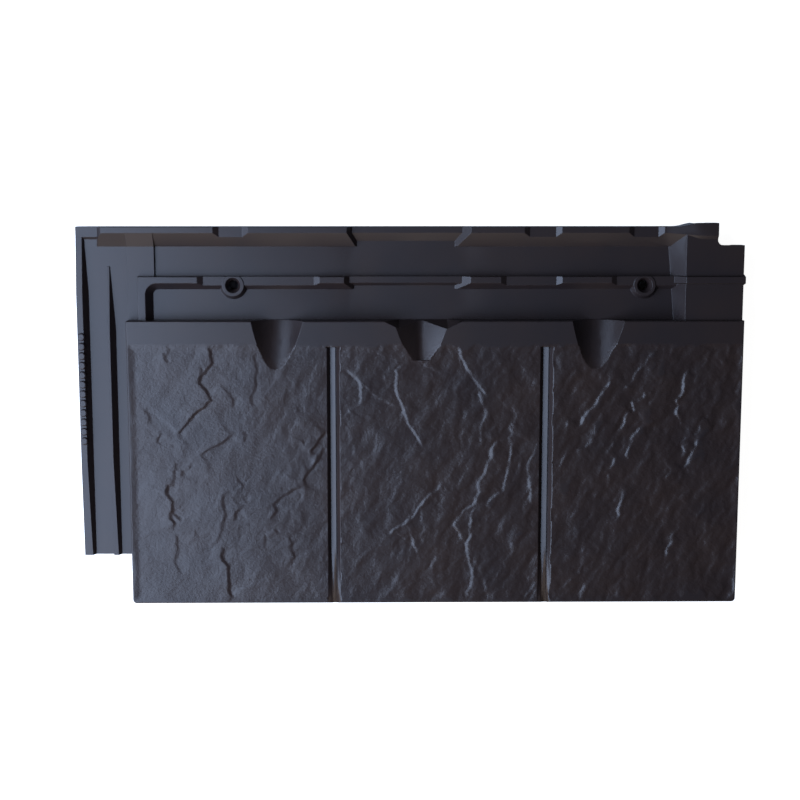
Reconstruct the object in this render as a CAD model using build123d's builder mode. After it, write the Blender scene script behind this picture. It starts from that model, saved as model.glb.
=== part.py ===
"""Interlocking roof tile with a three-slate face, pressed in one piece and fired.

The tile lies face up: X runs across the roof, Y up the slope to the head, Z out of the face.
The origin is in the middle of the underside, on the plane that the tile lies on.
"""
from build123d import *
import os
from math import atan2, degrees, sqrt

# Overall size
width = 451
length = 261
height = 30
overrun = 5
root_depth = 3

# Levels of the plates
nib_height = 8
slab_thickness = 9
face_thickness = 12
pan_top = nib_height + slab_thickness
face_under = height - face_thickness

# Face plate
flange_width = 34
edge_round = 1
nose_corner_round = 2.6
lip_thickness = 13
lip_draft = 3
rail_width = 11
rail_draft = 4

# Grooves between the slates, seen in section from the left edge of each
band_width = 15.2
groove_setback = 2.4
groove_width = 9.3
groove_depth = 4
groove_wall_draft = 2.4
groove_floor = 3.6
groove_floor_rise = 1.2
groove_step_drop = 0.6
groove_step_run = 0.5
groove_nose_depth = 1.2
groove_nose_draft = 4.7
groove_nose_run = 42
left_slate_width = 139.3
middle_slate_width = 144.7

# Drain scoops at the top edge of the face
left_scoop_inset = 101.7
right_scoop_inset = 98.5
side_scoop_mouth = 36
side_scoop_reach = 35.6
side_scoop_lean = -1.6
middle_scoop_shift = -9.6
middle_scoop_mouth = 38
middle_scoop_reach = 26.6
middle_scoop_tip = 13.4
middle_scoop_tip_depth = 3
middle_scoop_round = 5
mouth_shift = -8.3
mouth_width = 58.4
mouth_waist = 33
mouth_reach = 5.2

# Head bar along the top edge
head_bar_height = 8
head_bar_top = 4.2
head_bar_slope = 9.3
head_bar_inset = 13.9
head_bar_end_draft = 1.6
head_bar_end_bevel = 2.8
head_edge_inset = 2.5
corner_pad_height = 2
corner_pad_width = 7
corner_pad_slope = 1.6

# Channels of the pan, below and above the weather bar
lower_channel = 20.7
upper_channel = 20

# Weather bar across the pan, with its leg down to the face
bar_height = 6.5
bar_top = 4.4
bar_slope = 4.4
bar_back_draft = 0.4
bar_inset = 7.4
bar_leg_top = 5.3
bar_corner_round = 3.5
bar_round = 0.6

# Shoulder left of the pan
shoulder_height = 2
shoulder_width = 18.5

# Notches along the bars, with the start and end of each as shares of the width from the left edge
notch_depth = 2.4
notch_draft = 3.8
head_bar_notch_shares = ((0.206, 0.258), (0.67, 0.726), (0.826, 0.879))
bar_notch_shares = ((0.181, 0.364), (0.636, 0.728), (0.802, 0.93))

# Lowered middle of the pan
middle_shift = -18
middle_width = 83.6
middle_drop = 1.2
middle_ramp = 17
middle_left_draft = 6.7
middle_right_draft = 10.5
middle_bar_lead = 2
middle_head_bar_height = 4.4
middle_head_bar_slope = 5.6
middle_bar_height = 3.6
middle_bar_slope = 2

# Nail bosses on the weather bar
nail_spacing = 278.8
nail_shift = 2.5
nail_hole = 6.2
nail_sink = 10.4
nail_sink_angle = 50
boss_top = 14.6
boss_foot = 19
boss_height = 4.6
boss_setback = 6

# Side-lock flange at the left, with its two ribs
flange_end = 32
rib_height = 5.6
rib_end_height = 3.2
rib_inner_draft = 3.2
rib_outer_draft = 0.8
first_rib_top = 4.2
first_rib_head_run = 38
second_rib_top = 1.6
second_rib_inset = 20.4
second_rib_head_gap = 27
second_rib_head_height = 0.6
second_rib_head_run = 42
rib_foot_run = 66

# Teeth along the first rib
tooth_count = 12
tooth_pitch = 6.5
tooth_width = 4.8
tooth_length = 5.2
tooth_inset = 2.7
tooth_rise = 1.2
tooth_corner_round = 2.2
tooth_round = 1
tooth_setback = 110

# Cover lap at the right
lap_clearance = 1
rib_clearance = 1.8
lap_plate_drop = 2.5
lap_plate_width = 40
lap_ramp_head_run = 11.5
lap_ramp_face_run = 4.6
lap_bar_height = 2
lap_bar_rise_run = 13
lap_bar_crest_run = 9.5
lap_bar_front_lead = 1.8
lap_swing_lead = 6.5
lap_swing_run = 14.5
lap_edge_inset = 1
lap_bead_height = 2
lap_bead_width = 7
lap_notch_width = 19.1
lap_notch_length = 14.9
lap_notch_round = 3.6

# Hanging nibs under the head
nib_width = 62
nib_length = 16
nib_draft = 2
nib_spacing = 230
nib_setback = 16

# Places worked out from the sizes above
nose_y = -length / 2
head_y = length / 2
main_head_y = head_y - head_edge_inset
head_bar_front_y = main_head_y - head_bar_top
head_bar_foot_y = head_bar_front_y - head_bar_slope
bar_back_y = head_bar_foot_y - upper_channel
bar_front_y = bar_back_y - bar_top
bar_foot_y = bar_front_y - bar_slope
face_top_y = bar_foot_y - lower_channel
face_length = face_top_y - nose_y
step_y = face_top_y - rail_width
left_x = -width / 2
right_x = width / 2
face_left_x = left_x + flange_width
face_width = right_x - face_left_x
face_middle_x = (face_left_x + right_x) / 2
left_groove_x = face_left_x + left_slate_width
right_groove_x = left_groove_x + middle_slate_width
head_bar_left_x = left_x + head_bar_inset
bar_left_x = face_left_x + bar_inset
shoulder_right_x = face_left_x + shoulder_width
middle_left_x = face_middle_x + middle_shift - middle_width / 2
middle_right_x = middle_left_x + middle_width
nail_centre_x = face_middle_x + nail_shift
nail_y = bar_back_y - boss_setback
lap_x = left_x + face_width - lap_clearance
lap_ramp_top_x = right_x - lap_plate_width
lap_bar_rise_x = lap_ramp_top_x - lap_bar_rise_run
lap_bar_crest_x = lap_ramp_top_x + lap_bar_crest_run
lap_bar_end_x = right_x - lap_notch_width
lap_swing_x = lap_ramp_top_x - lap_swing_lead
lap_right_x = right_x - lap_edge_inset
lap_under = pan_top + lap_clearance
lap_plate_top = height - lap_plate_drop
middle_floor = pan_top - middle_drop
flange_end_y = nose_y + flange_end
tooth_middle_y = main_head_y - tooth_setback
bar_taper = degrees(atan2(bar_slope, bar_height))
head_bar_lean = head_bar_slope / head_bar_height
rib_inner_slope = rib_inner_draft / rib_height
rib_outer_slope = rib_outer_draft / rib_height


def across(x):
    """The plane square to the width at x: its own axes are Y and Z."""
    return Plane.YZ.offset(x)


def along(y):
    """The plane square to the length at y: its own axes are X and Z."""
    return Plane.XZ.offset(-y)


with BuildPart() as face_plate:
    # Plate with its nose lip turned down
    with BuildSketch(across(face_left_x)):
        with BuildLine():
            Polyline(
                (nose_y, 0),
                (nose_y, height),
                (face_top_y, height),
                (face_top_y, face_under),
                (nose_y + lip_thickness + lip_draft, face_under),
                (nose_y + lip_thickness, 0),
                close=True,
            )
        make_face()
    extrude(amount=face_width)
    nose_edges = edges().filter_by(Axis.Z).group_by(Axis.Y)[0]
    fillet(nose_edges, nose_corner_round)
    fillet(faces().sort_by(Axis.Z)[-1].edges(), edge_round)


with BuildPart() as tooth:
    # One rounded tooth of the side lock
    Box(
        tooth_width,
        tooth_length,
        rib_height + tooth_rise,
        align=(Align.CENTER, Align.CENTER, Align.MIN),
    )
    fillet(edges().filter_by(Axis.Z), tooth_corner_round)
    fillet(edges().group_by(Axis.Z)[-1], tooth_round)


with BuildPart() as tile:
    # Head slab and side-lock flange
    with BuildSketch(Plane.XY.offset(nib_height)):
        with BuildLine():
            Polyline(
                (left_x, flange_end_y),
                (left_x, main_head_y),
                (lap_x, main_head_y),
                (lap_x, step_y),
                (face_left_x + rail_width, step_y),
                (face_left_x + rail_width, flange_end_y),
                close=True,
            )
        make_face()
    extrude(amount=slab_thickness)

    # Shoulder between the flange and the pan
    with BuildSketch(Plane.XY.offset(pan_top)):
        with BuildLine():
            Polyline(
                (face_left_x, step_y),
                (face_left_x, head_bar_foot_y),
                (shoulder_right_x, head_bar_foot_y),
                (shoulder_right_x, step_y),
                close=True,
            )
        make_face()
    extrude(amount=shoulder_height)

    # Weather bar and its leg: a raised block, hollowed by the lower channel
    with BuildSketch(Plane.XY.offset(pan_top)):
        with BuildLine():
            Polyline(
                (bar_left_x, step_y),
                (bar_left_x, bar_back_y),
                (lap_x, bar_back_y),
                (lap_x, step_y),
                close=True,
            )
        make_face()
    extrude(amount=bar_height)
    channel_left_x = bar_left_x + bar_leg_top + bar_slope
    with BuildSketch(Plane.XY.offset(pan_top)):
        with BuildLine():
            Polyline(
                (channel_left_x, step_y - lower_channel),
                (channel_left_x, bar_foot_y),
                (right_x, bar_foot_y),
                (right_x, step_y - lower_channel),
                close=True,
            )
        make_face()
        fillet(vertices().group_by(Axis.Y)[-1].sort_by(Axis.X)[0], bar_corner_round)
    extrude(amount=bar_height + overrun, taper=-bar_taper, mode=Mode.SUBTRACT)
    fillet(edges().group_by(Axis.Z)[-1], bar_round)

    # The head bar's slope keeps its foot where it runs over the shoulder
    with BuildSketch(across(face_left_x)):
        with BuildLine():
            Polyline(
                (head_bar_foot_y, pan_top),
                (head_bar_foot_y, pan_top + shoulder_height),
                (head_bar_front_y, pan_top + head_bar_height),
                (head_bar_front_y, pan_top),
                close=True,
            )
        make_face()
    extrude(amount=shoulder_width)

    # Head bar
    with BuildSketch(across(head_bar_left_x)):
        with BuildLine():
            Polyline(
                (head_bar_foot_y, pan_top),
                (head_bar_front_y, pan_top + head_bar_height),
                (main_head_y, pan_top + head_bar_height),
                (main_head_y, pan_top),
                close=True,
            )
        make_face()
        fillet(vertices().group_by(Axis.Y)[-1], bar_round)
    extrude(amount=lap_x - head_bar_left_x)
    bar_crest_z = pan_top + head_bar_height
    with BuildSketch(along(head_bar_foot_y)):
        with BuildLine():
            Polyline(
                (head_bar_left_x, pan_top),
                (head_bar_left_x + head_bar_end_draft, bar_crest_z - head_bar_end_bevel),
                (head_bar_left_x + head_bar_end_draft + head_bar_end_bevel, bar_crest_z),
                (head_bar_left_x, bar_crest_z),
                close=True,
            )
        make_face()
    extrude(amount=-(main_head_y - head_bar_foot_y), mode=Mode.SUBTRACT)

    # Corner pad that carries the head bar on over the flange
    pad_foot_y = main_head_y - corner_pad_width - corner_pad_slope
    with BuildSketch(across(left_x)):
        with BuildLine():
            Polyline(
                (pad_foot_y, pan_top),
                (main_head_y - corner_pad_width, pan_top + corner_pad_height),
                (main_head_y, pan_top + corner_pad_height),
                (main_head_y, pan_top),
                close=True,
            )
        make_face()
    extrude(amount=face_left_x - left_x)

    # Shallow notches along both bars
    bar_rows = (
        (head_bar_notch_shares, pan_top + head_bar_height, head_bar_foot_y, main_head_y),
        (bar_notch_shares, pan_top + bar_height, bar_foot_y, bar_back_y),
    )
    for notch_shares, crest, front_y, back_y in bar_rows:
        for start_share, end_share in notch_shares:
            start_x = left_x + start_share * width
            end_x = left_x + end_share * width
            with BuildSketch(along(front_y)):
                with BuildLine():
                    Polyline(
                        (start_x, crest),
                        (start_x + notch_draft, crest - notch_depth),
                        (end_x - notch_draft, crest - notch_depth),
                        (end_x, crest),
                        (end_x, crest + overrun),
                        (start_x, crest + overrun),
                        close=True,
                    )
                make_face()
            extrude(amount=-(back_y - front_y + overrun), mode=Mode.SUBTRACT)

    # Lowered middle: both channels dip, and both bars run on in a smaller section
    channels = ((face_top_y, bar_foot_y), (bar_back_y, head_bar_foot_y))
    for front_y, back_y in channels:
        with BuildSketch(along(front_y)):
            with BuildLine():
                Polyline(
                    (middle_left_x - middle_ramp, pan_top),
                    (middle_left_x, middle_floor),
                    (middle_right_x, middle_floor),
                    (middle_right_x + middle_ramp, pan_top),
                    close=True,
                )
            make_face()
        extrude(amount=-(back_y - front_y), mode=Mode.SUBTRACT)
    bar_spans = (
        (head_bar_foot_y, main_head_y, head_bar_height, middle_left_x),
        (bar_foot_y, bar_back_y + bar_back_draft, bar_height, middle_left_x - middle_bar_lead),
    )
    for front_y, back_y, crest_height, end_x in bar_spans:
        with BuildSketch(along(front_y)):
            with BuildLine():
                Polyline(
                    (end_x, pan_top + crest_height),
                    (end_x + middle_left_draft, middle_floor),
                    (middle_right_x - middle_right_draft, middle_floor),
                    (middle_right_x, pan_top + crest_height),
                    close=True,
                )
            make_face()
        extrude(amount=-(back_y - front_y + overrun), mode=Mode.SUBTRACT)
    small_bars = (
        (main_head_y, head_bar_top, middle_head_bar_slope, middle_head_bar_height),
        (bar_back_y, bar_top, middle_bar_slope, middle_bar_height),
    )
    for back_y, flat, slope, crest_height in small_bars:
        with BuildSketch(across(middle_left_x)):
            with BuildLine():
                Polyline(
                    (back_y - flat - slope, middle_floor),
                    (back_y - flat, middle_floor + crest_height),
                    (back_y, middle_floor + crest_height),
                    (back_y, middle_floor),
                    close=True,
                )
            make_face()
        extrude(amount=middle_right_x - middle_left_x)

    # Cover lap at the head: a raised plate with a sloped left side
    lap_ramp_head_x = lap_ramp_top_x - lap_ramp_head_run
    lap_ramp_face_x = lap_ramp_top_x - lap_ramp_face_run
    for y, foot_x in ((step_y, lap_ramp_face_x), (main_head_y, lap_ramp_head_x)):
        with BuildSketch(along(y)):
            with BuildLine():
                Polyline(
                    (foot_x, pan_top),
                    (lap_ramp_top_x, lap_plate_top),
                    (lap_right_x, lap_plate_top),
                    (lap_right_x, lap_under),
                    (lap_x, lap_under),
                    (lap_x, pan_top),
                    close=True,
                )
            make_face()
    loft(ruled=True)

    # The head bar rises onto the lap with its slope, and swings a little further up the roof
    with BuildSketch(Plane.XY.offset(nib_height)):
        with BuildLine():
            Polyline(
                (lap_bar_rise_x, head_bar_front_y),
                (lap_bar_rise_x, head_y),
                (lap_x, head_y),
                (lap_x, head_bar_front_y),
                close=True,
            )
        make_face()
    extrude(amount=slab_thickness + root_depth)
    lap_bar_top = lap_plate_top + lap_bar_height
    lap_bar_front_y = head_bar_front_y - lap_bar_front_lead
    for x, front_y, crest in (
        (lap_bar_rise_x, head_bar_front_y, pan_top + head_bar_height),
        (lap_bar_crest_x, lap_bar_front_y, lap_bar_top),
        (lap_bar_end_x, lap_bar_front_y, lap_bar_top),
    ):
        with BuildSketch(across(x)):
            with BuildLine():
                Polyline(
                    (front_y - head_bar_lean * (crest - lap_under), lap_under),
                    (front_y, crest),
                    (head_y, crest),
                    (head_y, lap_under),
                    close=True,
                )
            make_face()
            fillet(vertices().group_by(Axis.Y)[-1], bar_round)
    loft(ruled=True)
    with BuildSketch(Plane.XY):
        with BuildLine():
            swing = Spline(
                (lap_swing_x, main_head_y),
                (lap_swing_x + lap_swing_run, head_y),
                tangents=((1, 0), (1, 0)),
            )
            Polyline(
                swing @ 1,
                (lap_swing_x + lap_swing_run, head_y + overrun),
                (lap_bar_rise_x - overrun, head_y + overrun),
                (lap_bar_rise_x - overrun, main_head_y),
                swing @ 0,
            )
        make_face()
    extrude(amount=height + overrun, mode=Mode.SUBTRACT)

    # The weather bar climbs the ramp and runs on over the lap as a low bead
    bead_middle_y = (bar_front_y + bar_back_y) / 2
    bead_share = (bead_middle_y - step_y) / (main_head_y - step_y)
    bead_foot_x = lap_ramp_face_x + (lap_ramp_head_x - lap_ramp_face_x) * bead_share
    bead_stations = (
        (bead_foot_x, pan_top),
        (lap_ramp_top_x, lap_plate_top),
        (right_x, lap_plate_top),
    )
    for x, base_z in bead_stations:
        with BuildSketch(across(x)):
            with BuildLine():
                Polyline(
                    (bead_middle_y - lap_bead_width / 2, base_z - root_depth),
                    (bead_middle_y - bar_top / 2, base_z + lap_bead_height),
                    (bead_middle_y + bar_top / 2, base_z + lap_bead_height),
                    (bead_middle_y + lap_bead_width / 2, base_z - root_depth),
                    close=True,
                )
            make_face()
    loft(ruled=True)

    # Face plate
    add(face_plate.part)

    # Rail that carries the face down to the flange, and rail that carries it down to the pan
    with BuildSketch(along(nose_y)):
        with BuildLine():
            Polyline(
                (face_left_x, nib_height),
                (face_left_x, face_under),
                (face_left_x + rail_width + rail_draft, face_under),
                (face_left_x + rail_width, nib_height),
                close=True,
            )
        make_face()
    extrude(amount=-face_length)
    with BuildSketch(across(face_left_x)):
        with BuildLine():
            Polyline(
                (face_top_y, nib_height),
                (face_top_y, face_under),
                (step_y - rail_draft, face_under),
                (step_y, nib_height),
                close=True,
            )
        make_face()
    extrude(amount=lap_x - face_left_x)

    # Ribs of the side lock, which sink into the flange at the head and run lower towards its end
    ribs = (
        (left_x, 0, first_rib_top, corner_pad_width, corner_pad_height, first_rib_head_run),
        (
            left_x + second_rib_inset,
            rib_outer_slope,
            second_rib_top,
            second_rib_head_gap,
            second_rib_head_height,
            second_rib_head_run,
        ),
    )
    for rib_x, outer_slope, rib_top, head_gap, head_height, head_run in ribs:
        rib_head_y = main_head_y - head_gap
        stations = (
            (rib_head_y, head_height, 0),
            (rib_head_y - head_run, rib_height, 0),
            (flange_end_y + rib_foot_run, rib_height, 0),
            (flange_end_y, rib_end_height, rib_height - rib_end_height),
        )
        for y, crest_height, cut_down in stations:
            wall_height = crest_height + root_depth
            top_left_x = rib_x - outer_slope * cut_down
            top_right_x = rib_x + rib_top + rib_inner_slope * cut_down
            with BuildSketch(along(y)):
                with BuildLine():
                    Polyline(
                        (top_left_x - outer_slope * wall_height, pan_top - root_depth),
                        (top_left_x, pan_top + crest_height),
                        (top_right_x, pan_top + crest_height),
                        (top_right_x + rib_inner_slope * wall_height, pan_top - root_depth),
                        close=True,
                    )
                make_face()
        loft(ruled=True)

    # Row of teeth along the first rib
    with Locations((left_x + tooth_inset, tooth_middle_y, pan_top)):
        with GridLocations(0, tooth_pitch, 1, tooth_count):
            add(tooth.part)

    # Grooves that part the slates, running out shallow at the nose
    groove_top_y = face_top_y - band_width - groove_setback
    groove_run_y = nose_y + groove_nose_run
    floor_end = groove_wall_draft + groove_floor
    floor_end_depth = groove_depth - groove_floor_rise
    groove_profile = (
        (groove_wall_draft, groove_depth),
        (floor_end, floor_end_depth),
        (floor_end + groove_step_run, floor_end_depth + groove_step_drop),
    )
    nose_profile = (
        (groove_nose_draft, groove_nose_depth),
        (groove_nose_draft + groove_step_run, groove_nose_depth),
        (groove_nose_draft + 2 * groove_step_run, groove_nose_depth),
    )
    groove_stations = (
        (groove_top_y, groove_profile),
        (groove_run_y, groove_profile),
        (nose_y - overrun, nose_profile),
    )
    for groove_x in (left_groove_x, right_groove_x):
        groove_left_x = groove_x - groove_width / 2
        groove_right_x = groove_x + groove_width / 2
        for y, profile in groove_stations:
            with BuildSketch(along(y)):
                with BuildLine():
                    Polyline(
                        (groove_left_x, height + overrun),
                        (groove_left_x, height),
                        *[(groove_left_x + run, height - depth) for run, depth in profile],
                        (groove_right_x, height),
                        (groove_right_x, height + overrun),
                        close=True,
                    )
                make_face()
        loft(ruled=True, mode=Mode.SUBTRACT)

    # Side drain scoops: rounded troughs that rise from the pan to the face
    mouth_y = face_top_y + edge_round
    scoop_crest = height + 2 * overrun
    side_depth = height - pan_top
    side_crest_half = side_scoop_mouth / 2 * sqrt((scoop_crest - pan_top) / side_depth)
    side_axis = Vector(side_scoop_lean, -side_scoop_reach, side_depth)
    for scoop_x in (face_left_x + left_scoop_inset, right_x - right_scoop_inset):
        with BuildSketch(along(mouth_y)):
            with BuildLine():
                trough = Bezier(
                    (scoop_x - side_crest_half, scoop_crest),
                    (scoop_x, 2 * pan_top - scoop_crest),
                    (scoop_x + side_crest_half, scoop_crest),
                )
                Line(trough @ 1, trough @ 0)
            make_face()
        extrude(amount=side_axis.length + overrun, dir=side_axis, mode=Mode.SUBTRACT)

    # Middle drain scoop: a rounded V with a blunt tip
    middle_scoop_x = face_middle_x + middle_scoop_shift
    for y, scoop_width, depth in (
        (mouth_y, middle_scoop_mouth, height - middle_floor),
        (face_top_y - middle_scoop_reach, middle_scoop_tip, middle_scoop_tip_depth),
    ):
        crest_half = scoop_width / 2 * (scoop_crest - height + depth) / depth
        with BuildSketch(along(y)):
            with BuildLine():
                Polyline(
                    (middle_scoop_x, height - depth),
                    (middle_scoop_x + crest_half, scoop_crest),
                    (middle_scoop_x - crest_half, scoop_crest),
                    close=True,
                )
            make_face()
            fillet(vertices().group_by(Axis.Y)[0], middle_scoop_round)
    loft(ruled=True, mode=Mode.SUBTRACT)

    # Flared mouth of the middle scoop
    mouth_x = face_middle_x + mouth_shift
    for z, mouth, reach in ((middle_floor, mouth_waist, 0), (height, mouth_width, mouth_reach)):
        with BuildSketch(Plane.XY.offset(z)):
            with BuildLine():
                Polyline(
                    (mouth_x - mouth / 2, mouth_y),
                    (mouth_x - mouth_waist / 2, face_top_y - reach),
                    (mouth_x + mouth_waist / 2, face_top_y - reach),
                    (mouth_x + mouth / 2, mouth_y),
                    close=True,
                )
            make_face()
    loft(ruled=True, mode=Mode.SUBTRACT)

    # Nail bosses on the weather bar, cut flush with its back
    with Locations((nail_centre_x, nail_y, pan_top)):
        with GridLocations(nail_spacing, 0, 2, 1):
            Cone(
                boss_foot / 2,
                boss_top / 2,
                boss_height,
                align=(Align.CENTER, Align.CENTER, Align.MIN),
            )
    with BuildSketch(Plane.XY.offset(pan_top)):
        with Locations((nail_centre_x, bar_back_y)):
            with GridLocations(nail_spacing, 0, 2, 1):
                Rectangle(boss_foot, boss_foot, align=(Align.CENTER, Align.MIN))
    extrude(amount=boss_height, mode=Mode.SUBTRACT)
    with Locations((nail_centre_x, nail_y, pan_top + boss_height)):
        with GridLocations(nail_spacing, 0, 2, 1):
            CounterSinkHole(nail_hole / 2, nail_sink / 2, counter_sink_angle=nail_sink_angle)

    # Corner notch that clears the head bar of the next tile
    with BuildSketch(Plane.XY):
        with BuildLine():
            Polyline(
                (lap_bar_end_x, head_y + overrun),
                (lap_bar_end_x, head_y - lap_notch_length),
                (right_x + overrun, head_y - lap_notch_length),
                (right_x + overrun, head_y + overrun),
                close=True,
            )
        make_face()
        fillet(vertices().group_by(Axis.Y)[0].sort_by(Axis.X)[0], lap_notch_round)
    extrude(amount=height + overrun, mode=Mode.SUBTRACT)

    # Grooves under the cover lap for the ribs of the next tile
    for rib_x, outer_slope, rib_top, head_gap, head_height, head_run in ribs:
        seat_left_x = rib_x + face_width - outer_slope * rib_height - lap_clearance
        seat_right_x = rib_x + face_width + rib_top + rib_inner_draft + lap_clearance
        with BuildSketch(along(flange_end_y - lap_clearance)):
            with BuildLine():
                Polyline(
                    (seat_left_x, 0),
                    (seat_left_x, lap_under),
                    (seat_left_x + outer_slope * rib_height, pan_top + rib_height + rib_clearance),
                    (seat_right_x - rib_inner_draft, pan_top + rib_height + rib_clearance),
                    (seat_right_x, lap_under),
                    (seat_right_x, 0),
                    close=True,
                )
            make_face()
        extrude(amount=-(length + overrun), mode=Mode.SUBTRACT)

    # Hanging nibs
    nib_y = main_head_y - nib_setback
    with BuildSketch(Plane.XY.offset(nib_height)):
        with Locations((0, nib_y)):
            with GridLocations(nib_spacing, 0, 2, 1):
                Rectangle(nib_width, nib_length)
    extrude(amount=-nib_height, taper=degrees(atan2(nib_draft, nib_height)))

tile.part.label = "roof_tile"
os.makedirs("parts", exist_ok=True)
export_step(tile.part, "parts/roof_tile.step")
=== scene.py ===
"""Interlocking slate-look roof tile: riven slate relief, fired engobe and a plain studio stage."""

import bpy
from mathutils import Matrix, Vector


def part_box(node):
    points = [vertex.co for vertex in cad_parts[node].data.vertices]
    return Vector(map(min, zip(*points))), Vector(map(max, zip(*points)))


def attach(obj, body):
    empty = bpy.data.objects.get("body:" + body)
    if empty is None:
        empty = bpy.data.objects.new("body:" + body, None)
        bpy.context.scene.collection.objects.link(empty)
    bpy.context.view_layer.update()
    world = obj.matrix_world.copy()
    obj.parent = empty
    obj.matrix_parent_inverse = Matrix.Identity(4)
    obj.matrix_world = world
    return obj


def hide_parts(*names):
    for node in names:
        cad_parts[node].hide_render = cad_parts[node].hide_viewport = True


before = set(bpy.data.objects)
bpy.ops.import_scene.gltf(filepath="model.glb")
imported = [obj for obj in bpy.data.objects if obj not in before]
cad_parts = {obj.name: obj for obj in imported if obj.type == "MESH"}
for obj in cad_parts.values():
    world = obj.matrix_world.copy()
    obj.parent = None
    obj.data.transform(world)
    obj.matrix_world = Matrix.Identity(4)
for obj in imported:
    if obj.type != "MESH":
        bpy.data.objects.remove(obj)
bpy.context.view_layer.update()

from math import radians

import bmesh
import bpy
import numpy as np
from bpy.props import FloatProperty, FloatVectorProperty, IntProperty, PointerProperty, StringProperty
from bpy.types import Operator, Panel, PropertyGroup
from mathutils import Matrix, Vector

bl_info = {
    "name": "Riven slate roof tile",
    "version": (1, 0, 0),
    "blender": (4, 5, 0),
    "location": "View3D > Sidebar > Roof tile",
    "description": "Dresses the packed roof tile with riven slate relief, a satin engobe and a studio stage",
    "category": "Object",
}

NODE = "roof_tile"
MM = 0.001
LOW, HIGH = (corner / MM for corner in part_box(NODE))

# Plan of the face in millimetres, from the tile's own box, its flange and its head with the plain band
FLANGE_WIDTH = 34
HEAD_LENGTH = 80.7
FACE_LEFT = LOW.x + FLANGE_WIDTH
FACE_RIGHT = HIGH.x
NOSE = LOW.y
BAND_EDGE = HIGH.y - HEAD_LENGTH
FACE_LEVEL = HIGH.z

# The riven faces in millimetres: how deep they lie, and how deep a point may lie to count as slate and not as
# the pressed face or a groove's floor
LEAST_DEPTH = 0.02
GREATEST_DEPTH = 2
SLATE_TOP_DEPTH = 0.05
SLATE_FLOOR_DEPTH = 2.6

# The relief in millimetres: the width of a layer edge and how far it wanders, the height of the broad swell
# and of the soft wales
EDGE_WIDTH = 1.25
EDGE_WANDER = 1.3
SWELL = 0.2
WALE = 0.4

# The cutter in millimetres: it reaches past the face at both sides and the nose, and clears the plain band
CUTTER_MARGIN = 2
CUTTER_HEIGHT = 6
BAND_CLEARANCE = 0.4
BAND_OVERLAP = 0.6

# Edges of the layers that split off each slate when it was riven, read off against a millimetre grid:
# the drop, then the line from its upper end to its lower one. On the left slate the layers drop to the right,
# on the others to the left.
LEFT_SCARPS = (
    (0.9, ((-137, 50), (-135, 43), (-134, 36), (-138, 31), (-142, 27), (-143, 23), (-139, 18), (-135, 11),
           (-147, 2), (-152, -5), (-160, -13))),
    (0.4, ((-143, 35), (-142, 29), (-143, 23))),
    (0.4, ((-167, 44), (-164, 36))),
    (0.3, ((-165, 48), (-162, 44))),
    (0.35, ((-180, 6), (-178, 0), (-177, -5))),
    (0.45, ((-168, -11), (-172, -15), (-173, -19))),
    (0.6, ((-119, -11), (-125, -16), (-131, -20), (-138, -24), (-144, -29))),
    (0.4, ((-151, -32), (-150, -36))),
    (0.45, ((-155, -37), (-156, -43))),
    (0.35, ((-161, -30), (-160, -37), (-162, -44), (-162, -52))),
    (0.9, ((-167, -46), (-167, -53), (-163, -58), (-163, -64), (-164, -69), (-161, -77))),
    (0.6, ((-163, -64), (-159, -69), (-156, -73))),
    (0.4, ((-160, -81), (-161, -92), (-162, -101), (-158, -110))),
    (0.3, ((-148, -79), (-145, -83))),
    (0.4, ((-127, -51), (-128, -60), (-127, -70), (-130, -80), (-133, -88))),
    (0.9, ((-129, -90), (-129, -98), (-126, -103), (-125, -110), (-125, -118), (-125, -124), (-121, -127))),
    (0.9, ((-57, -9), (-61, -14), (-64, -19), (-68, -27))),
    (0.9, ((-57, -20), (-62, -27), (-67, -34), (-71, -42), (-74, -49))),
    (0.6, ((-74, -49), (-81, -51), (-88, -56), (-94, -61), (-92, -65), (-96, -73))),
    (0.35, ((-75, -14), (-72, -20))),
    (0.35, ((-72, -33), (-70, -39))),
    (0.45, ((-116, -42), (-117, -45), (-113, -49))),
    (0.3, ((-116, -57), (-112, -60))),
    (0.5, ((-115, -63), (-119, -66), (-121, -73))),
    (0.35, ((-105, 44), (-104, 30), (-105, 21), (-107, 14), (-108, 6))),
    (0.25, ((-130, 23), (-125, 18), (-121, 12), (-120, 3))),
    (0.3, ((-85, 22), (-84, 15), (-86, 9))),
    (0.3, ((-112, -10), (-113, -18))),
    (0.4, ((-94, -77), (-91, -81))),
    (0.45, ((-85, -82), (-82, -88), (-81, -94), (-78, -101))),
    (0.3, ((-99, -81), (-101, -94))),
    (-0.3, ((-126, -50), (-120, -52))),
)
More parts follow.
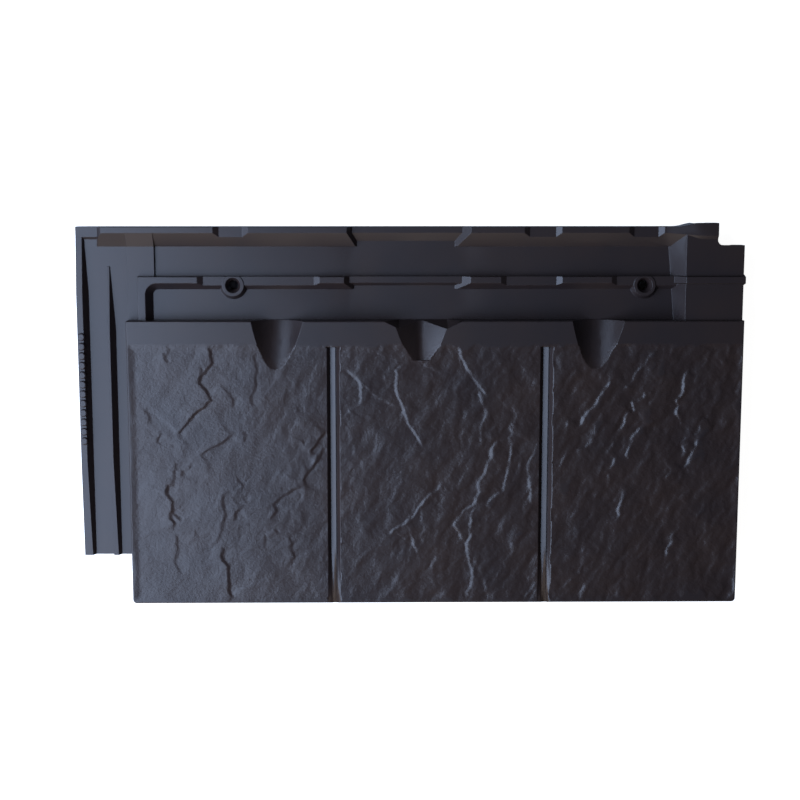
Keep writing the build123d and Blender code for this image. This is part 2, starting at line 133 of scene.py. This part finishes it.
MIDDLE_SCARPS = (
    (0.8, ((-45, 34), (-39, 29), (-36, 24), (-34, 19), (-34, 13), (-35, 6))),
    (0.6, ((-40, 6), (-43, 2), (-46, 0))),
    (0.5, ((-33, 21), (-28, 18), (-21, 12), (-16, 9), (-8, 6))),
    (0.9, ((-4, 37), (-9, 31), (-10, 23), (-10, 17), (-7, 10), (-4, 2), (0, -7), (4, -14), (9, -22))),
    (0.45, ((3, 40), (11, 34), (19, 30))),
    (0.3, ((22, 29), (27, 24))),
    (0.9, ((32, 50), (35, 41), (38, 33), (42, 26), (47, 20), (53, 14))),
    (0.7, ((46, 20), (48, 14), (50, 7), (52, 2), (50, -2), (48, -8), (47, -14), (49, -20))),
    (0.45, ((28, 50), (31, 45))),
    (0.4, ((33, 42), (34, 34))),
    (0.5, ((70, 9), (72, 1))),
    (0.75, ((74, -3), (68, -5), (67, -8), (69, -12), (65, -18))),
    (0.9, ((60, -15), (56, -22), (54, -30), (51, -38), (47, -45), (47, -50), (45, -57), (43, -62), (37, -66),
           (34, -71), (30, -76), (34, -82), (35, -89))),
    (0.9, ((71, -18), (68, -25), (67, -34), (65, -42), (64, -52), (58, -56), (50, -61))),
    (0.85, ((45, -63), (41, -70), (40, -78), (40, -84), (38, -89), (39, -95), (41, -103), (43, -112),
            (41, -118), (37, -128))),
    (0.4, ((39, -97), (37, -105), (37, -111))),
    (0.5, ((42, -98), (47, -105), (50, -111), (51, -118), (54, -127))),
    (0.9, ((22, -45), (20, -50), (14, -53), (9, -58), (5, -64), (1, -70), (-3, -74), (-9, -77), (-13, -79),
           (-13, -83))),
    (0.7, ((-1, -75), (0, -82), (2, -89), (5, -97))),
    (0.4, ((8, -65), (7, -75))),
    (0.3, ((8, -77), (14, -83))),
    (0.3, ((6, -80), (10, -88))),
    (0.8, ((88, -17), (84, -26), (81, -32), (80, -39), (81, -44), (82, -53), (84, -62))),
    (0.3, ((85, -64), (83, -72))),
    (0.35, ((73, -74), (71, -84))),
    (0.5, ((70, -88), (68, -95))),
    (0.35, ((65, -97), (64, -101), (67, -107))),
    (0.8, ((87, -116), (82, -122), (78, -129))),
    (0.45, ((30, -11), (28, -19))),
    (0.3, ((20, -2), (23, -6))),
    (0.35, ((12, -36), (12, -43))),
    (0.3, ((20, -27), (17, -31))),
    (0.3, ((14, -103), (15, -109))),
    (0.3, ((-23, 45), (-17, 39))),
    (0.3, ((-20, 29), (-14, 23))),
    (0.3, ((-42, 47), (-41, 38))),
    (0.3, ((-34, -30), (-33, -36))),
)
RIGHT_SCARPS = (
    (0.8, ((136, 25), (132, 19), (127, 12), (126, 7), (120, 2), (117, -2), (114, -8))),
    (0.6, ((169, 47), (165, 45), (161, 41), (159, 35), (152, 30), (152, 25), (148, 21), (143, 18))),
    (0.8, ((158, 19), (158, 13), (151, 9), (152, 4), (147, 1), (145, -5), (142, -11))),
    (0.45, ((162, 18), (163, 12), (162, 6))),
    (0.4, ((162, 0), (160, -5))),
    (0.7, ((157, -7), (153, -12), (151, -18), (148, -25), (146, -31))),
    (0.45, ((138, -17), (136, -23), (134, -28))),
    (0.7, ((141, -27), (138, -32), (135, -38))),
    (0.5, ((131, -29), (130, -37), (127, -45))),
    (0.3, ((137, -40), (136, -44))),
    (0.6, ((124, -14), (124, -18), (119, -21), (113, -22))),
    (0.5, ((109, -19), (108, -24), (105, -29), (101, -36))),
    (0.4, ((108, -2), (107, -8))),
    (0.85, ((189, 32), (185, 25), (185, 17), (181, 11), (182, 7), (181, 1), (183, -2), (184, -9))),
    (0.6, ((204, -1), (200, -2), (197, -6), (197, -10), (191, -14))),
    (0.7, ((189, -14), (186, -17), (185, -20), (187, -26), (185, -31))),
    (0.65, ((195, -15), (194, -23), (191, -29), (189, -33), (186, -38))),
    (0.65, ((180, -38), (176, -41), (174, -45))),
    (0.4, ((172, -43), (168, -45))),
    (0.75, ((148, -52), (145, -58), (142, -64), (143, -71))),
    (0.7, ((181, -80), (180, -88), (178, -93), (176, -100))),
    (0.5, ((204, -73), (203, -82))),
    (0.4, ((126, -52), (127, -61))),
    (0.35, ((125, -89), (130, -95))),
    (0.4, ((118, -107), (115, -112))),
    (0.5, ((120, -116), (119, -121), (116, -128))),
    (0.35, ((204, 35), (198, 30))),
    (0.35, ((215, 27), (210, 23))),
    (0.3, ((201, 23), (196, 20), (193, 18))),
    (0.35, ((210, 45), (206, 41))),
    (0.35, ((137, 10), (135, 2))),
    (0.3, ((113, 33), (108, 26))),
    (0.3, ((210, -60), (207, -67))),
    (0.25, ((158, -111), (157, -116))),
    (0.25, ((167, -107), (162, -112))),
)


def srgb(code):
    """A linear colour from an sRGB hex code."""
    levels = [int(code[i:i + 2], 16) / 255 for i in (1, 3, 5)]
    return [c / 12.92 if c <= 0.04045 else ((c + 0.055) / 1.055) ** 2.4 for c in levels]


def node(tree, kind, links=None, **settings):
    """Adds a node, sets its options and sockets, and links its inputs."""
    made = tree.nodes.new(kind)
    for name, value in settings.items():
        setattr(made, name, value)
    for name, value in (links or {}).items():
        socket = made.inputs[name]
        if isinstance(value, bpy.types.NodeSocket):
            tree.links.new(value, socket)
        else:
            socket.default_value = value
    return made


def smooth(share):
    """An S-shaped rise from 0 to 1."""
    share = np.clip(share, 0, 1)
    return share * share * (3 - 2 * share)


def noise(x, y, seed):
    """Seeded gradient noise of about -1 to 1 with cells of one unit."""
    turns = np.random.default_rng(seed).uniform(0, 2 * np.pi, (64, 64))
    cell_x, cell_y = np.floor(x).astype(int), np.floor(y).astype(int)
    x, y = x - cell_x, y - cell_y
    rise_x, rise_y = (v * v * v * (v * (6 * v - 15) + 10) for v in (x, y))

    def corner(i, j):
        turn = turns[(cell_x + i) % 64, (cell_y + j) % 64]
        return np.cos(turn) * (x - i) + np.sin(turn) * (y - j)

    low = corner(0, 0) + rise_x * (corner(1, 0) - corner(0, 0))
    high = corner(0, 1) + rise_x * (corner(1, 1) - corner(0, 1))
    return 1.5 * (low + rise_y * (high - low))


def fractal(x, y, size, octaves, seed):
    """Noise of several sizes, each half the last, with the largest cells size millimetres wide."""
    return sum(noise(x * 2 ** k / size, y * 2 ** k / size, seed + k) / 2 ** k for k in range(octaves))


def scarp(x, y, drop, line, reach, seed):
    """The height that one layer edge gives: a broken drop that fades to both sides and at its ends."""
    points = np.array(line)
    steps = np.diff(points, axis=0)
    lengths = np.hypot(*steps.T)
    starts = np.concatenate(([0], np.cumsum(lengths)))
    nearest = np.full(x.shape, np.inf)
    side = np.zeros(x.shape)
    place = np.zeros(x.shape)
    for (px, py), (dx, dy), span, start in zip(points, steps, lengths, starts):
        share = np.clip(((x - px) * dx + (y - py) * dy) / span ** 2, 0, 1)
        off_x, off_y = x - px - share * dx, y - py - share * dy
        distance = np.hypot(off_x, off_y)
        closer = distance < nearest
        nearest = np.where(closer, distance, nearest)
        side = np.where(closer, np.sign(dx * off_y - dy * off_x), side)
        place = np.where(closer, start + share * span, place)
    whole = starts[-1]
    taper = smooth(np.minimum(place, whole - place) / min(4, whole / 4))
    broken = np.clip(1 + 0.5 * noise(place / 6, np.full_like(place, drop), seed), 0.6, 1.3)
    step = np.clip(side * nearest / EDGE_WIDTH, -0.5, 0.5)
    return drop * broken * taper * step * np.exp(-nearest / reach)


def riven_depth(x, y, settings):
    """Depth of the riven surface under the pressed face at places in millimetres."""
    seed = settings.seed
    warp_x = x + EDGE_WANDER * fractal(x, y, 9, 3, seed)
    warp_y = y + EDGE_WANDER * fractal(x, y, 9, 3, seed + 10)
    height = SWELL * fractal(x, y, 40, 3, seed + 20)
    # Each slate's own strength, with its sign for the side that the layers drop to
    for lines, strength in ((LEFT_SCARPS, -0.85), (MIDDLE_SCARPS, 0.75), (RIGHT_SCARPS, 1.25)):
        for drop, line in lines:
            reach = 5 + 8 * abs(drop)
            points = np.array(line)
            low, high = points.min(axis=0) - 4 * reach, points.max(axis=0) + 4 * reach
            near = (x > low[0]) & (x < high[0]) & (y > low[1]) & (y < high[1])
            fall = strength * settings.scarp_drop * drop
            height[near] += scarp(warp_x[near], warp_y[near], fall, line, reach, seed + len(line))
    # Thin layers: low terraces that run with the cleavage, from the upper right to the lower left
    run = 0.86 * x - 0.5 * y
    rise = 0.5 * x + 0.86 * y
    share = smooth((x - FACE_LEFT) / (FACE_RIGHT - FACE_LEFT))
    levels = 2.6 * fractal(run + 1.5 * (warp_x - x), (rise + 1.5 * (warp_y - y)) / 1.6, 16, 4, seed + 30)
    floor = np.floor(levels)
    terraces = floor + smooth((levels - floor - 0.62) / 0.38)
    height += settings.layer_drop * (0.4 + 1.5 * share) * terraces
    height += settings.grain * (0.3 + 0.4 * share) * fractal(x, y, 5, 3, seed + 40)
    # Soft wales between the layers, strongest on the right slate
    height += WALE * (0.1 + share) * fractal(run + warp_x - x, (rise + warp_y - y) / 2.2, 8, 2, seed + 50)
    edge = np.minimum(np.minimum(x - FACE_LEFT, FACE_RIGHT - x), np.minimum(y - NOSE, BAND_EDGE - y))
    ease = edge / settings.edge_fade
    depth = smooth(ease) * settings.depth - smooth(3 * ease) * height
    return np.where(y > BAND_EDGE, -BAND_CLEARANCE, np.clip(depth, LEAST_DEPTH, GREATEST_DEPTH))


def relief_cutter(settings):
    """A closed block whose underside is the riven surface."""
    step = settings.grid
    start_y = NOSE - CUTTER_MARGIN
    xs = np.arange(FACE_LEFT - CUTTER_MARGIN, FACE_RIGHT + CUTTER_MARGIN, step)
    ys = np.linspace(start_y, BAND_EDGE, round((BAND_EDGE - start_y) / step))
    ys = np.append(ys, BAND_EDGE + BAND_OVERLAP)
    x, y = np.meshgrid(xs, ys)
    z = FACE_LEVEL - riven_depth(x, y, settings)
    rows, columns = x.shape
    index = np.arange(rows * columns).reshape(rows, columns)
    a, b, c, d = index[:-1, :-1], index[:-1, 1:], index[1:, 1:], index[1:, :-1]
    flat = np.abs(z[:-1, :-1] - z[1:, 1:]) < np.abs(z[:-1, 1:] - z[1:, :-1])
    first = np.where(flat[..., None], np.stack((a, c, b), -1), np.stack((a, d, b), -1))
    second = np.where(flat[..., None], np.stack((a, d, c), -1), np.stack((b, d, c), -1))
    under = np.concatenate((first.reshape(-1, 3), second.reshape(-1, 3)))
    rim = np.concatenate((index[0, :-1], index[:-1, -1], index[-1, :0:-1], index[:0:-1, 0]))
    top = rows * columns + np.arange(len(rim))
    after, top_after = np.roll(rim, -1), np.roll(top, -1)
    centre = np.full(len(rim), rows * columns + len(rim))
    sides = np.concatenate((np.stack((rim, after, top_after), 1), np.stack((rim, top_after, top), 1)))
    lid = np.stack((top, top_after, centre), 1)
    places = np.stack((x.ravel(), y.ravel(), z.ravel()), 1)
    crest = np.full(len(rim), FACE_LEVEL + CUTTER_HEIGHT)
    ring = np.stack((places[rim, 0], places[rim, 1], crest), 1)
    middle = np.array([[(xs[0] + xs[-1]) / 2, (ys[0] + ys[-1]) / 2, FACE_LEVEL + CUTTER_HEIGHT]])
    mesh = bpy.data.meshes.new("relief_cutter")
    mesh.from_pydata((np.concatenate((places, ring, middle)) * MM).tolist(), [],
                     np.concatenate((under, sides, lid)).tolist())
    return bpy.data.objects.new("relief_cutter", mesh)


class TileSettings(PropertyGroup):
    """Sizes and colours of the slate face."""
    seed: IntProperty(name="Seed", description="Start of the seeded noise of the riven faces", default=7)
    grid: FloatProperty(
        name="Grid", description="Mesh step of the riven faces, in millimetres", default=0.97)
    depth: FloatProperty(
        name="Depth", description="Mean depth of the riven faces, in millimetres", default=0.55)
    edge_fade: FloatProperty(
        name="Edge fade", description="Width over which the slates' edges ease, in millimetres", default=6)
    scarp_drop: FloatProperty(name="Scarp drop", description="Scale of the layer edges' drops", default=0.85)
    layer_drop: FloatProperty(
        name="Layer drop", description="Drop of the thin layers, in millimetres", default=0.1)
    grain: FloatProperty(name="Grain", description="Height of the grain, in millimetres", default=0.07)
    engobe: StringProperty(name="Engobe", description="Colour of the fired slate engobe", default="#262123")
    worn: StringProperty(name="Thin engobe", description="Colour where the engobe is thin", default="#362924")


class StageSettings(PropertyGroup):
    """Camera and light."""
    camera_place: FloatVectorProperty(
        name="Camera place", description="Where the camera stands, in millimetres",
        default=(-17.85, 150.9, 990.4), subtype="XYZ")
    camera_aim: FloatVectorProperty(
        name="Camera aim", description="Point on the face that the camera looks at, in millimetres",
        default=(-7.07, 11.37, 30.0), subtype="XYZ")
    lens: FloatProperty(
        name="Lens", description="Focal length on a 36 mm sensor", default=64.4, unit="CAMERA")
    window_place: FloatVectorProperty(
        name="Window place", description="Middle of the tall soft window at the left, in millimetres",
        default=(-660.0, -80.0, 720.0), subtype="XYZ")
    window_power: FloatProperty(name="Window power", description="Power of the window in watts", default=20)
    window_colour: StringProperty(name="Window colour", description="Colour of the window's daylight",
                                  default="#c5dbff")
    wall_place: FloatVectorProperty(
        name="Wall place", description="Middle of the warm wall below the nose, in millimetres",
        default=(-400.0, -1300.0, 520.0), subtype="XYZ")
    wall_power: FloatProperty(name="Wall power", description="Power of the warm wall in watts", default=5.5)
    wall_colour: StringProperty(name="Wall colour", description="Colour of the warm wall", default="#ffeddd")
    fill: FloatProperty(name="Fill", description="Strength of the light from all round", default=0.02)


def engobed_clay(settings):
    """Slate-black engobe fired onto pressed clay: a satin skin that sheds a soft, broad sheen."""
    material = bpy.data.materials.new("satin_slate_engobe_on_pressed_clay")
    material.use_nodes = True
    tree = material.node_tree
    shader = tree.nodes["Principled BSDF"]
    place = node(tree, "ShaderNodeTexCoord").outputs["Object"]
    riven = node(tree, "ShaderNodeAttribute", attribute_name="riven").outputs["Fac"]
    # Clouds about 35 mm wide where the engobe lies thicker or thinner
    clouds = node(tree, "ShaderNodeTexNoise", {"Vector": place, "Scale": 1 / (35 * MM), "Detail": 4.0})
    # It is thinner on the riven faces, which look browner for it
    thin = node(tree, "ShaderNodeMath", {
        0: riven, 1: 0.2, 2: clouds.outputs["Fac"],
    }, operation="MULTIPLY_ADD")
    colour = node(tree, "ShaderNodeMix", {
        "Factor": thin.outputs[0],
        "A": (*srgb(settings.engobe), 1),
        "B": (*srgb(settings.worn), 1),
    }, data_type="RGBA")
    # Grain of the riven faces, about 1.6 mm across
    grain = node(tree, "ShaderNodeTexNoise", {
        "Vector": place, "Scale": 1 / (1.6 * MM), "Detail": 3.0, "Roughness": 0.6,
    })
    # Edges leave the press rounded by half a millimetre, and each catches a thin line of light
    rounded = node(tree, "ShaderNodeBevel", {"Radius": 0.5 * MM}, samples=4)
    bump = node(tree, "ShaderNodeBump", {
        "Normal": rounded.outputs["Normal"],
        "Height": grain.outputs["Fac"],
        "Strength": riven,
        "Distance": 0.16 * MM,
    })
    tree.links.new(colour.outputs["Result"], shader.inputs["Base Color"])
    tree.links.new(bump.outputs["Normal"], shader.inputs["Normal"])
    satin = node(tree, "ShaderNodeMapRange", {"Value": riven, "To Min": 0.37, "To Max": 0.34})
    tree.links.new(satin.outputs["Result"], shader.inputs["Roughness"])
    shader.inputs["Specular IOR Level"].default_value = 0.5
    return material


class TILE_OT_riven_tile(Operator):
    """Make the tile with its riven slates"""
    bl_idname = "roof_tile.riven_tile"
    bl_label = "Riven tile"

    def execute(self, context):
        settings = context.scene.tile_settings
        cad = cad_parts[NODE]
        blank = bpy.data.objects.new("riven_tile", cad.data.copy())
        work = bmesh.new()
        work.from_mesh(blank.data)
        bmesh.ops.remove_doubles(work, verts=work.verts, dist=0.001 * MM)
        work.to_mesh(blank.data)
        work.free()
        normals = blank.data.attributes.get("custom_normal")
        if normals:
            blank.data.attributes.remove(normals)
        cutter = relief_cutter(settings)
        for made in (blank, cutter):
            context.scene.collection.objects.link(made)
        cut = blank.modifiers.new("riven faces", "BOOLEAN")
        cut.operation = "DIFFERENCE"
        cut.solver = "MANIFOLD"
        cut.object = cutter
        mesh = bpy.data.meshes.new_from_object(blank.evaluated_get(context.evaluated_depsgraph_get()))
        if len(mesh.polygons) < len(cutter.data.polygons) / 2:
            raise RuntimeError("the riven faces were not cut")
        blank.modifiers.clear()
        blank.data = mesh
        bpy.data.objects.remove(cutter)
        places = np.empty(len(mesh.vertices) * 3)
        mesh.vertices.foreach_get("co", places)
        x, y, z = places.reshape(-1, 3).T / MM
        under = FACE_LEVEL - z
        on_slate = (under > SLATE_TOP_DEPTH) & (under < SLATE_FLOOR_DEPTH) & (y < BAND_EDGE)
        riven = mesh.attributes.new("riven", "FLOAT", "POINT")
        riven.data.foreach_set("value", on_slate.astype(np.float32))
        mesh.shade_smooth()
        mesh.set_sharp_from_angle(angle=radians(32))
        ends = np.empty(len(mesh.edges) * 2, dtype=np.int32)
        mesh.edges.foreach_get("vertices", ends)
        sharp = np.empty(len(mesh.edges), dtype=bool)
        mesh.edges.foreach_get("use_edge_sharp", sharp)
        mesh.edges.foreach_set("use_edge_sharp", sharp & ~on_slate[ends].reshape(-1, 2).all(axis=1))
        weighted = blank.modifiers.new("flat faces stay flat", "WEIGHTED_NORMAL")
        weighted.keep_sharp = True
        mesh.materials.clear()
        mesh.materials.append(engobed_clay(settings))
        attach(blank, "root")
        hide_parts(NODE)
        return {"FINISHED"}


class TILE_OT_stage(Operator):
    """Set the floor, the lights and the camera"""
    bl_idname = "roof_tile.stage"
    bl_label = "Stage"

    def execute(self, context):
        scene = context.scene
        settings = scene.stage_settings
        bpy.ops.mesh.primitive_plane_add(size=6, location=(0, 0, 0))
        floor = context.active_object
        floor.name = "floor"
        # Matt white paper: white to the camera, with a faint shadow under the tile
        paper = bpy.data.materials.new("matt_white_paper")
        paper.use_nodes = True
        tree = paper.node_tree
        shader = tree.nodes["Principled BSDF"]
        seen = node(tree, "ShaderNodeLightPath").outputs["Is Camera Ray"]
        shader.inputs["Base Color"].default_value = (0.8, 0.8, 0.8, 1)
        shader.inputs["Roughness"].default_value = 0.9
        shader.inputs["Emission Color"].default_value = (1, 1, 1, 1)
        open_sky = node(tree, "ShaderNodeAmbientOcclusion", {"Distance": 60 * MM})
        level = node(tree, "ShaderNodeMapRange", {
            "Value": open_sky.outputs["AO"], "From Min": 0.3, "From Max": 0.45, "To Max": 0.97,
        })
        glow = node(tree, "ShaderNodeMath", {0: seen, 1: level.outputs["Result"]}, operation="MULTIPLY")
        tree.links.new(glow.outputs[0], shader.inputs["Emission Strength"])
        floor.data.materials.append(paper)
        place = Vector(settings.camera_place) * MM
        aim = Vector(settings.camera_aim) * MM
        back = (place - aim).normalized()
        right = Vector((0, 1, 0)).cross(back).normalized()
        up = back.cross(right)
        camera_data = bpy.data.cameras.new("camera")
        camera_data.lens = settings.lens
        camera_data.sensor_width = 36
        camera = bpy.data.objects.new("camera", camera_data)
        camera.matrix_world = Matrix.Translation(place) @ Matrix((right, up, back)).transposed().to_4x4()
        scene.collection.objects.link(camera)
        scene.camera = camera
        # Each lamp's width and length are in metres
        lamps = (
            ("window", settings.window_place, 1.2, 0.95, settings.window_power, settings.window_colour),
            ("wall", settings.wall_place, 1.6, 0.8, settings.wall_power, settings.wall_colour),
        )
        for name, place, width, length, power, colour in lamps:
            lamp_data = bpy.data.lights.new(name, "AREA")
            lamp_data.energy = power
            lamp_data.shape = "RECTANGLE"
            lamp_data.size = width
            lamp_data.size_y = length
            lamp_data.color = srgb(colour)
            lamp = bpy.data.objects.new(name, lamp_data)
            lamp.location = Vector(place) * MM
            lamp.rotation_euler = (-lamp.location).to_track_quat("-Z", "Y").to_euler()
            scene.collection.objects.link(lamp)
        world = bpy.data.worlds.new("studio")
        world.use_nodes = True
        tree = world.node_tree
        background = tree.nodes["Background"]
        seen = node(tree, "ShaderNodeLightPath").outputs["Is Camera Ray"]
        level = node(tree, "ShaderNodeMapRange", {"Value": seen, "To Min": settings.fill, "To Max": 1.0})
        background.inputs["Color"].default_value = (1, 1, 1, 1)
        tree.links.new(level.outputs["Result"], background.inputs["Strength"])
        scene.world = world
        scene.view_settings.view_transform = "Standard"
        return {"FINISHED"}


class TILE_PT_sidebar(Panel):
    """Shows the buttons that make the riven tile and set the stage"""
    bl_idname = "TILE_PT_sidebar"
    bl_label = "Roof tile"
    bl_space_type = "VIEW_3D"
    bl_region_type = "UI"
    bl_category = "Roof tile"

    def draw(self, context):
        for operator in (TILE_OT_riven_tile, TILE_OT_stage):
            self.layout.operator(operator.bl_idname)


CLASSES = (TileSettings, StageSettings, TILE_OT_riven_tile, TILE_OT_stage, TILE_PT_sidebar)


def register():
    for kind in CLASSES:
        bpy.utils.register_class(kind)
    bpy.types.Scene.tile_settings = PointerProperty(type=TileSettings)
    bpy.types.Scene.stage_settings = PointerProperty(type=StageSettings)


def unregister():
    del bpy.types.Scene.tile_settings
    del bpy.types.Scene.stage_settings
    for kind in reversed(CLASSES):
        bpy.utils.unregister_class(kind)


def main():
    register()
    bpy.ops.roof_tile.riven_tile()
    bpy.ops.roof_tile.stage()


if __name__ == "__main__":
    main()
